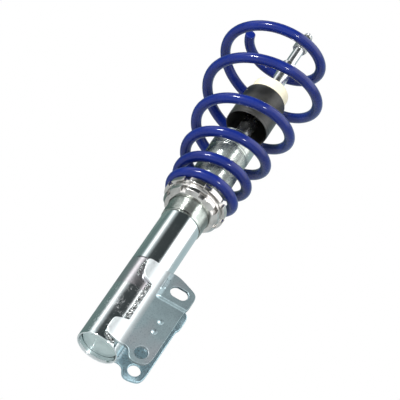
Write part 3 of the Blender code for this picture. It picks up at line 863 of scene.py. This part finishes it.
def make_rings(aluminium):
    low, high = bottom_of("lock_ring"), top_of("lock_ring")
    levels = [(RING_BORE_R, high, 0.0), (RING_BORE_R + 0.8, high, 0.0)]
    levels += edge_levels(LOCK_RING_R, high, -1)
    toe_z = low + 4.5
    levels += [(LOCK_RING_R, toe_z + 0.8, 0.0), (LOCK_RING_R - 0.1, toe_z + 0.25, 0.0)]
    levels += [(LOCK_RING_R - 0.5, toe_z - 0.25, 0.0)]
    levels += [(LOCK_RING_TOE_R + 0.4, low + 0.5, 0.0), (LOCK_RING_TOE_R, low + 0.12, 0.0)]
    levels += [(LOCK_RING_TOE_R - 0.5, low, 0.0), (RING_BORE_R + 0.8, low, 0.0), (RING_BORE_R, low + 0.8, 0.0)]
    ring = notched_ring("lock_ring_turned", LOCK_RING_R, levels, aluminium)
    place(ring, "lock_ring", "machined_aluminium", "lock_ring")

    low, high = bottom_of("spring_perch"), top_of("spring_perch")
    neck_r = 36.5
    levels = [(RING_BORE_R, high - 0.8, 0.0), (RING_BORE_R + 0.8, high, 0.0)]
    levels += [(PERCH_HUB_R - 1.0, high, 0.0), (PERCH_HUB_R - 0.3, high - 0.3, 0.0), (PERCH_HUB_R, high - 1.0, 0.0)]
    levels += [(PERCH_HUB_R, PERCH_SEAT + 0.6, 0.0), (PERCH_HUB_R + 0.2, PERCH_SEAT + 0.15, 0.0)]
    levels += [(PERCH_HUB_R + 0.7, PERCH_SEAT, 0.0)]
    levels += edge_levels(PERCH_R, PERCH_SEAT, -1)
    levels += reversed(edge_levels(PERCH_R, PERCH_FLANGE_BOTTOM, 1))
    levels += [(neck_r + 0.7, PERCH_FLANGE_BOTTOM, 0.0), (neck_r + 0.15, PERCH_FLANGE_BOTTOM - 0.15, 0.0)]
    levels += [(neck_r, PERCH_FLANGE_BOTTOM - 0.6, 0.0), (neck_r, low + 0.7, 0.0), (neck_r - 0.3, low + 0.2, 0.0)]
    levels += [(neck_r - 0.9, low, 0.0), (RING_BORE_R + 0.8, low, 0.0), (RING_BORE_R, low + 0.8, 0.0)]
    perch = notched_ring("perch_turned", PERCH_R, levels, aluminium)
    place(perch, "perch", "machined_aluminium", "spring_perch")


def spring_station(turns):
    """(radius, height) at a place along the coil, on a smooth curve through the stations."""
    last = len(SPRING_STATIONS) - 1
    k = max(i for i in range(last) if SPRING_STATIONS[i][0] <= turns)
    row = [SPRING_STATIONS[min(max(k + i, 0), last)] for i in (-1, 0, 1, 2)]
    span = row[2][0] - row[1][0]
    t = (turns - row[1][0]) / span
    result = []
    for column in (1, 2):
        slopes = [
            (row[i + 1][column] - row[i - 1][column]) / (row[i + 1][0] - row[i - 1][0]) * span
            for i in (1, 2)
        ]
        result.append(
            (2 * t**3 - 3 * t**2 + 1) * row[1][column]
            + (t**3 - 2 * t**2 + t) * slopes[0]
            + (3 * t**2 - 2 * t**3) * row[2][column]
            + (t**3 - t**2) * slopes[1]
        )
    return result


def make_spring(paint):
    turns_total = SPRING_STATIONS[-1][0]
    bottom = SPRING_STATIONS[0][2]
    height = SPRING_STATIONS[-1][2] - bottom
    count = round(turns_total * SPRING_POINTS_PER_TURN)
    points = []
    for i in range(count + 1):
        turns = turns_total * i / count
        radius, z = spring_station(turns)
        share = (z - bottom) / height
        slope = SPRING_LEAN * 2 * share / height
        angle = math.radians(SPRING_START + 360.0 * turns)
        spoke = Vector((math.cos(angle), math.sin(angle), 0.0)) * (radius - 0.35)
        spoke.z = -spoke.dot(slope)
        points.append(spoke + SPRING_LEAN * share**2 + Vector((0.0, 0.0, z)))
    radii = [WIRE_R] * len(points)
    for end, step in ((0, 1), (-1, -1)):
        tangent = (points[end + step] - points[end]).normalized()
        chamfer = [(points[end] + tangent * out, WIRE_R - inset) for out, inset in ((0.0, 1.0), (0.3, 0.4), (0.9, 0.0))]
        if step == 1:
            points[0:1] = [p for p, _ in chamfer]
            radii[0:1] = [r for _, r in chamfer]
        else:
            points[-1:] = [p for p, _ in reversed(chamfer)]
            radii[-1:] = [r for _, r in reversed(chamfer)]
    coil = sweep("spring_coil", points, radii, paint)
    place(coil, "perch", "spring_blue", "coil_spring")
    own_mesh(coil)


def make_boot(plastic, foam):
    bore_r = BOOT_R - 1.3
    lid = 3.0
    hole_r = STOP_R + 0.3
    boot = turned(
        "boot_shell",
        (
            (BOOT_R, BOOT_TOP, 2.6),
            (BOOT_R, BOOT_BOTTOM + 5.0, 0.5),
            (BOOT_R - 0.25, BOOT_BOTTOM + 4.4, 0.4),
            (BOOT_R - 0.25, BOOT_BOTTOM, 0.45),
            (bore_r, BOOT_BOTTOM, 0.45),
            (bore_r, BOOT_TOP - lid, 1.2),
            (hole_r, BOOT_TOP - lid, 0.4),
            (hole_r, BOOT_TOP, 0.5),
        ),
        plastic,
    )
    place(boot, "boot", "boot_plastic", "dust_boot")
    stop = turned(
        "bump_stop_foam",
        (
            (STOP_R, STOP_TOP, 2.6),
            (STOP_R, STOP_BOTTOM + 8.0, 2.0),
            (STOP_R - 6.4, STOP_BOTTOM, 1.5),
            (STOP_BORE_R, STOP_BOTTOM, 0.5),
            (STOP_BORE_R, STOP_TOP, 1.6),
        ),
        foam,
    )
    place(stop, "boot", "cream_foam", "bump_stop")


# ---------------------------------------------------------------- knuckle bracket


def plate_section():
    """Columns of x, y and the outward normal along the sheet's middle line on the -Y side."""
    line = []
    for k in range(61):
        angle = math.radians(WRAP_START + (WRAP_END - WRAP_START) * k / 60)
        line.append(Vector((WRAP_R * math.cos(angle), WRAP_R * math.sin(angle))))
    start = line[-1]
    along = Vector((-start.y, start.x)).normalized()
    corner = start + along * (-EAR_Y - start.y) / along.y
    end = Vector((corner.x + 6.5, -EAR_Y))
    for k in range(1, 25):
        t = k / 24
        line.append(start * (1 - t) ** 2 + corner * 2 * t * (1 - t) + end * t * t)
    line.append(Vector((80.0, -EAR_Y)))
    line = np.array(line)
    ahead = np.gradient(line, axis=0)
    ahead /= np.linalg.norm(ahead, axis=1, keepdims=True)
    return line[:, 0], line[:, 1], ahead[:, 1], -ahead[:, 0]


def smoothstep(value, low, high):
    t = np.clip((value - low) / (high - low), 0.0, 1.0)
    return t * t * (3 - 2 * t)


def relief(x, z):
    """How far the press pushes the ear outwards: the joggle, the dimples and the short ridges."""
    lift = JOGGLE * smoothstep(z, JOGGLE_BOTTOM, JOGGLE_TOP) * smoothstep(x, 24.0, 31.0)
    for centre_x, centre_z in DIMPLES:
        reach = np.hypot(x - centre_x, z - centre_z) / DIMPLE_R
        lift += DIMPLE_HEIGHT * np.clip(1 - reach**2, 0.0, 1.0) ** 1.2
    for ridge_x, low, high, half, height in RIDGES:
        reach = np.hypot(x - ridge_x, z - np.clip(z, low, high)) / half
        lift += height * np.clip(1 - reach**2, 0.0, 1.0)
    return lift


def inside(loop, points):
    """Which points lie inside a closed loop."""
    loop = np.asarray(loop, float)
    found = np.zeros(len(points), bool)
    for (ax, az), (bx, bz) in zip(loop, np.roll(loop, -1, axis=0)):
        crosses = (az > points[:, 1]) != (bz > points[:, 1])
        if not crosses.any():
            continue
        at = (bx - ax) * (points[:, 1] - az) / (bz - az + 1e-12) + ax
        found ^= crosses & (points[:, 0] < at)
    return found


def clear_of(loop, points, distance):
    """Which points are at least this far from a densely sampled loop."""
    loop = np.asarray(loop, float)
    gaps = np.full(len(points), np.inf)
    for vertex in loop:
        gaps = np.minimum(gaps, np.hypot(*(points - vertex).T))
    return gaps > distance


def round_loop(centre, radius, count):
    angles = np.arange(count) * math.tau / count
    return [(centre[0] + radius * math.cos(a), centre[1] + radius * math.sin(a)) for a in angles]


def slot_loop(centre, length, height, steps=20):
    reach = (length - height) / 2
    points = []
    for side in (1, -1):
        for k in range(steps + 1):
            angle = math.pi * (k / steps - side / 2)
            points.append(
                (centre[0] + side * reach + height / 2 * math.cos(angle), centre[1] + height / 2 * math.sin(angle))
            )
    return points


def turning_left(loop):
    """The loop in the counterclockwise sense."""
    loop = np.asarray(loop, float)
    following = np.roll(loop, -1, axis=0)
    area = (loop[:, 0] * following[:, 1] - following[:, 0] * loop[:, 1]).sum()
    return loop if area > 0 else loop[::-1]


def plate_sheet():
    """The plate as a flat triangulation: points (x, z), each point's inset from the cut edge, triangles, edge loops."""
    outer = turning_left(even_loop(rounded(PLATE_OUTLINE, steps=6, support=0.0), 1.3))
    holes = [
        turning_left(round_loop(EAR_BOLT, BOLT_HOLE_R, 56))[::-1],
        turning_left(even_loop(slot_loop(CAMBER_SLOT, CAMBER_SLOT_LENGTH, CAMBER_SLOT_HEIGHT), 1.0))[::-1],
    ]
    insets = [PLATE_EDGE * share for share in (0.0, 0.08, 0.3, 0.62, 1.0)] + [PLATE_EDGE + 0.4]
    points, edges, depth, rims = [], [], [], []
    for loop in (outer, *holes):
        for inset in insets:
            ring = offset_loop(loop, inset)
            first = len(points)
            points.extend(map(tuple, ring))
            depth.extend([inset] * len(ring))
            edges.extend((first + i, first + (i + 1) % len(ring)) for i in range(len(ring)))
            if inset == 0.0:
                rims.append((first, len(ring)))
    xs = np.concatenate([np.arange(-7.0, 34.0, 1.1), np.arange(35.0, 70.0, 2.5)])
    zs = np.concatenate([np.arange(-9.0, 79.0, 2.5), np.arange(79.6, 85.6, 0.6), np.arange(86.5, 121.0, 1.1)])
    grid = np.array([(x, z) for z in zs for x in xs])
    spots = []
    for centre in DIMPLES:
        for share in (0.0, 0.2, 0.4, 0.6, 0.75, 0.87, 0.95, 1.0, 1.12):
            spots += round_loop(centre, DIMPLE_R * share, 1 if share == 0.0 else 28)
        grid = grid[np.hypot(grid[:, 0] - centre[0], grid[:, 1] - centre[1]) > DIMPLE_R * 1.3]
    for x, low, high, half, _ in RIDGES:
        for z in np.arange(low - half, high + half, 0.6):
            spots += [(x + half * share, z) for share in (-1.05, -0.75, -0.4, 0.0, 0.4, 0.75, 1.05)]
        near = (abs(grid[:, 0] - x) < half * 1.5) & (grid[:, 1] > low - half - 0.5) & (grid[:, 1] < high + half + 0.5)
        grid = grid[~near]
    grid = np.concatenate([grid, spots])
    grid = grid[inside(outer, grid) & clear_of(outer, grid, PLATE_EDGE + 1.0)]
    for hole in holes:
        grid = grid[~inside(hole, grid) & clear_of(hole, grid, PLATE_EDGE + 0.9)]
    depth.extend([PLATE_EDGE + 1.0] * len(grid))
    points.extend(map(tuple, grid))
    made, _, faces, origin, _, _ = delaunay_2d_cdt([Vector(p) for p in points], edges, [], 0, 1e-6)
    flat = np.array([tuple(v) for v in made])
    middles = np.array([flat[list(f)].mean(axis=0) for f in faces])
    keep = inside(outer, middles)
    for hole in holes:
        keep &= ~inside(hole, middles)
    place_of = {source: i for i, sources in enumerate(origin) for source in sources}
    insets_of = np.array([depth[sources[0]] if sources else PLATE_EDGE for sources in origin])
    loops = [[place_of[first + i] for i in range(count)] for first, count in rims]
    return flat, insets_of, [f for f, k in zip(faces, keep) if k], loops


def make_plate(name, side, sheet, finish):
    """One half of the bracket. side is -1 for -Y and 1 for +Y."""
    flat, insets, triangles, loops = sheet
    x, z = flat[:, 0], flat[:, 1]
    section_x, section_y, normal_x, normal_y = plate_section()
    y = np.interp(x, section_x, section_y) - relief(x, z)
    nx, ny = np.interp(x, section_x, normal_x), np.interp(x, section_x, normal_y)
    dip = np.clip(PLATE_EDGE - insets, 0.0, PLATE_EDGE)
    half = PLATE_THICK / 2 - PLATE_EDGE + np.sqrt(PLATE_EDGE**2 - dip**2)
    out = np.column_stack([x + nx * half, side * -(y + ny * half), z])
    inn = np.column_stack([x - nx * half, side * -(y - ny * half), z])
    count = len(flat)
    faces = [tuple(f) for f in triangles] + [tuple(i + count for i in reversed(f)) for f in triangles]
    for loop in loops:
        for a, b in zip(loop, loop[1:] + loop[:1]):
            faces.append((a, a + count, b + count, b))
    return add_piece(name, mesh_of(name, np.concatenate([out, inn]), faces), finish, sharp=42.0)


def bead(name, path, radius, finish, seed, squeeze=1.0):
    """A weld bead: a lumpy run along the path with ripples, thinner at its ends."""
    path = [Vector(p) for p in path]
    lengths = [0.0]
    for a, b in zip(path, path[1:]):
        lengths.append(lengths[-1] + (b - a).length)
    total = lengths[-1]
    count = round(total / 0.35)
    sides = 20
    points, radii = [], []
    for i in range(count + 1):
        run = total * i / count
        k = max(j for j in range(len(path) - 1) if lengths[j] <= run)
        t = (run - lengths[k]) / (lengths[k + 1] - lengths[k])
        centre = path[k].lerp(path[k + 1], min(t, 1.0))
        wander = noise.noise_vector(centre * 0.22 + Vector((seed, 0.0, 0.0))) * 0.5
        points.append(centre + wander)
        taper = math.sqrt(min(1.0, (min(run, total - run) + 0.05) / 2.2))
        ripple = 0.05 * math.cos(math.tau * run / 2.1)
        ring = []
        for s in range(sides):
            lump = noise.noise(centre * 0.42 + Vector((math.cos(math.tau * s / sides), math.sin(math.tau * s / sides), seed)))
            grit = noise.noise(centre * 1.4 + Vector((2.0 * math.cos(math.tau * s / sides), 2.0 * math.sin(math.tau * s / sides), seed)))
            ring.append(radius * taper * squeeze * (1.0 + ripple + 0.5 * lump + 0.2 * grit))
        radii.append(ring)
    return sweep(name, points, radii, finish, sides)


def on_tube(reach, degrees, z, side):
    angle = math.radians(degrees)
    return (reach * math.cos(angle), -side * reach * math.sin(angle), z)


def make_bracket(zincs, weld):
    sheet = plate_sheet()
    for word, side, zinc in (("front", -1, zincs[0]), ("rear", 1, zincs[1])):
        plate = make_plate(f"bracket_{word}", side, sheet, zinc)
        place(plate, "damper_body", "bracket_zinc", f"bracket_plate_{word}")
        seam = [on_tube(26.0, 298.5, z, side) for z in (35.0, 50.0, 65.0, 80.0, 92.0)]
        welded = bead(f"weld_seam_{word}_bead", seam, 2.8, weld, seed=3.0 * side)
        place(welded, "damper_body", "weld", f"weld_seam_{word}")
        low = [on_tube(26.0, a, z, side) for a, z in ((272.0, 7.0), (279.0, 3.6), (287.0, 1.8), (297.0, 1.6), (307.0, 2.4))]
        welded = bead(f"weld_low_{word}", low, 2.4, weld, seed=11.0 + side)
        place(welded, "damper_body", "weld")
        end = [on_tube(26.0, a, z, side) for a, z in ((262.0, 93.0), (257.5, 96.0), (256.0, 104.0), (256.5, 112.0), (259.0, 119.0))]
        welded = bead(f"weld_top_{word}", end, 1.6, weld, seed=23.0 + side)
        place(welded, "damper_body", "weld")


# ---------------------------------------------------------------- hidden inner pieces keep their CAD shapes


def finish_inner_nodes(finishes):
    for node, finish in finishes.items():
        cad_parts[node].material_slots[0].material = finish


# ---------------------------------------------------------------- studio


class Sky:
    """The studio as light from every direction, drawn with panels round a pale grey."""

    def __init__(self, base):
        world = bpy.data.worlds.new("studio")
        bpy.context.scene.world = world
        world.use_nodes = True
        self.tree = world.node_tree
        self.tree.nodes.clear()
        self.direction = self.tree.nodes.new("ShaderNodeTexCoord").outputs["Generated"]
        first = self.tree.nodes.new("ShaderNodeRGB")
        first.outputs[0].default_value = (*base, 1.0)
        self.colour = first.outputs[0]

    def math(self, operation, *values):
        node = self.tree.nodes.new("ShaderNodeMath")
        node.operation = operation
        for socket, value in zip(node.inputs, values):
            if isinstance(value, bpy.types.NodeSocket):
                self.tree.links.new(value, socket)
            else:
                socket.default_value = value
        return node.outputs[0]

    def step(self, value, low, high):
        node = self.tree.nodes.new("ShaderNodeMapRange")
        node.interpolation_type = "SMOOTHSTEP"
        for socket, number in zip(node.inputs, (value, low, high, 0.0, 1.0)):
            if isinstance(number, bpy.types.NodeSocket):
                self.tree.links.new(number, socket)
            else:
                socket.default_value = number
        return node.outputs[0]

    def panel(self, colour, azimuth, half_azimuth, low, high, soft=4.0, soft_height=6.0):
        """A soft-edged panel centred on an azimuth, between two elevations, all in degrees."""
        turn = self.tree.nodes.new("ShaderNodeVectorRotate")
        turn.rotation_type = "Z_AXIS"
        turn.inputs["Angle"].default_value = -math.radians(azimuth)
        self.tree.links.new(self.direction, turn.inputs["Vector"])
        parts = self.tree.nodes.new("ShaderNodeSeparateXYZ")
        self.tree.links.new(turn.outputs[0], parts.inputs[0])
        x, y, z = parts.outputs
        around = self.math("ABSOLUTE", self.math("ARCTAN2", y, x))
        height = self.math("ARCSINE", z)
        half, edge, rise = (math.radians(v) for v in (half_azimuth, soft, soft_height))
        mask = self.math("SUBTRACT", 1.0, self.step(around, half - edge, half + edge))
        mask = self.math("MULTIPLY", mask, self.step(height, math.radians(low) - rise, math.radians(low) + rise))
        top = self.step(height, math.radians(high) - rise, math.radians(high) + rise)
        mask = self.math("MULTIPLY", mask, self.math("SUBTRACT", 1.0, top))
        mix = self.tree.nodes.new("ShaderNodeMix")
        mix.data_type = "RGBA"
        self.tree.links.new(mask, mix.inputs[0])
        self.tree.links.new(self.colour, mix.inputs[6])
        mix.inputs[7].default_value = (*colour, 1.0)
        self.colour = mix.outputs[2]

    def finish(self):
        """White behind the object for the camera, and the panels for everything that the object reflects."""
        lit = self.tree.nodes.new("ShaderNodeBackground")
        self.tree.links.new(self.colour, lit.inputs["Color"])
        plain = self.tree.nodes.new("ShaderNodeBackground")
        plain.inputs["Color"].default_value = (1.0, 1.0, 1.0, 1.0)
        rays = self.tree.nodes.new("ShaderNodeLightPath")
        both = self.tree.nodes.new("ShaderNodeMixShader")
        self.tree.links.new(rays.outputs["Is Camera Ray"], both.inputs[0])
        self.tree.links.new(lit.outputs[0], both.inputs[1])
        self.tree.links.new(plain.outputs[0], both.inputs[2])
        output = self.tree.nodes.new("ShaderNodeOutputWorld")
        self.tree.links.new(both.outputs[0], output.inputs["Surface"])


def make_studio():
    sky = Sky((0.62, 0.66, 0.67))
    sky.panel((0.17, 0.24, 0.23), 144.0, 46.0, -30.0, 86.0, soft=5.0)
    sky.panel((1.5, 1.5, 1.5), 206.0, 9.0, 8.0, 80.0, soft=3.0)
    sky.panel((0.05, 0.058, 0.06), 263.0, 37.0, 14.0, 66.0, soft=12.0, soft_height=10.0)
    sky.panel((2.0, 2.0, 2.0), 332.0, 32.0, -5.0, 78.0, soft=7.0)
    sky.panel((0.50, 0.60, 0.62), 57.0, 41.0, -25.0, 80.0, soft=8.0)
    sky.finish()


def softbox(name, aim, distance, size, power):
    """A rectangular soft light on the strut's middle. aim is (right, up, back) as the camera sees it."""
    data = bpy.data.lights.new(name, "AREA")
    data.shape = "RECTANGLE"
    data.size, data.size_y = size
    data.energy = power
    light = bpy.data.objects.new(name, data)
    bpy.context.scene.collection.objects.link(light)
    out = (CAMERA_TURN @ Vector(aim)).normalized()
    light.location = Vector((0.0, 0.0, 0.3)) + out * distance
    light.rotation_euler = out.to_track_quat("Z", "Y").to_euler()
    light.visible_camera = False


def make_floor():
    finish = Finish("floor_paper", (0.9, 0.9, 0.9), 0.0, 0.8)
    finish.bump(finish.noise(120.0, 3.0), 0.05, 0.3)
    half = 9000.0
    height = -1600.0
    mesh = mesh_of(
        "floor",
        [(-half, -half, height), (half, -half, height), (half, half, height), (-half, half, height)],
        [(0, 1, 2, 3)],
    )
    mesh.materials.append(finish.material)
    floor = bpy.data.objects.new("floor", mesh)
    bpy.context.scene.collection.objects.link(floor)


def make_camera():
    """The camera looks up along the strut from below its bracket, rolled so that the strut leans right."""
    data = bpy.data.cameras.new("camera")
    data.lens = 121.8
    data.sensor_width = 36.0
    data.clip_start = 0.05
    data.clip_end = 20.0
    camera = bpy.data.objects.new("camera", data)
    bpy.context.scene.collection.objects.link(camera)
    camera.matrix_world = Matrix.Translation(CAMERA_PLACE) @ CAMERA_TURN.to_4x4()
    bpy.context.scene.camera = camera


def main():
    zinc = tube_zinc()
    sleeve = sleeve_zinc()
    steel = plated_steel()
    chrome = hard_chrome()
    rubber = black_rubber()
    polymer = dark_polymer()
    aluminium = turned_aluminium()
    inner_steel = machined_steel()
    make_damper(zinc, cap_zinc(), sleeve, rubber)
    make_rod(chrome, steel, polymer)
    make_rings(aluminium)
    make_spring(spring_paint())
    make_boot(boot_plastic(), cream_foam())
    grey_zinc = bracket_zinc("bracket_zinc", (0.29, 0.37, 0.39), (0.21, 0.27, 0.29), 0.35)
    blue_zinc = bracket_zinc("bracket_zinc_blue", (0.52, 0.70, 0.76), (0.44, 0.61, 0.69), 0.1)
    make_bracket((grey_zinc, blue_zinc), weld_metal())
    finish_inner_nodes(
        {
            "inner_cylinder": inner_steel,
            "base_valve": inner_steel,
            "piston": inner_steel,
            "rebound_shims": inner_steel,
            "compression_shims": inner_steel,
            "piston_nut": steel,
            "rod_guide": aluminium,
            "guide_bush": bronze(),
            "rod_seal": rubber,
            "gland_o_ring": rubber,
            "rebound_bumper": rubber,
            "piston_band": polymer,
        }
    )
    make_studio()
    softbox("key", (-0.35, 0.85, 0.75), 1.8, (0.42, 0.2), 36.0)
    softbox("fill", (0.45, -0.1, 0.9), 1.8, (0.2, 0.2), 9.0)
    make_floor()
    make_camera()
    bpy.context.scene.view_settings.view_transform = "Standard"


main()
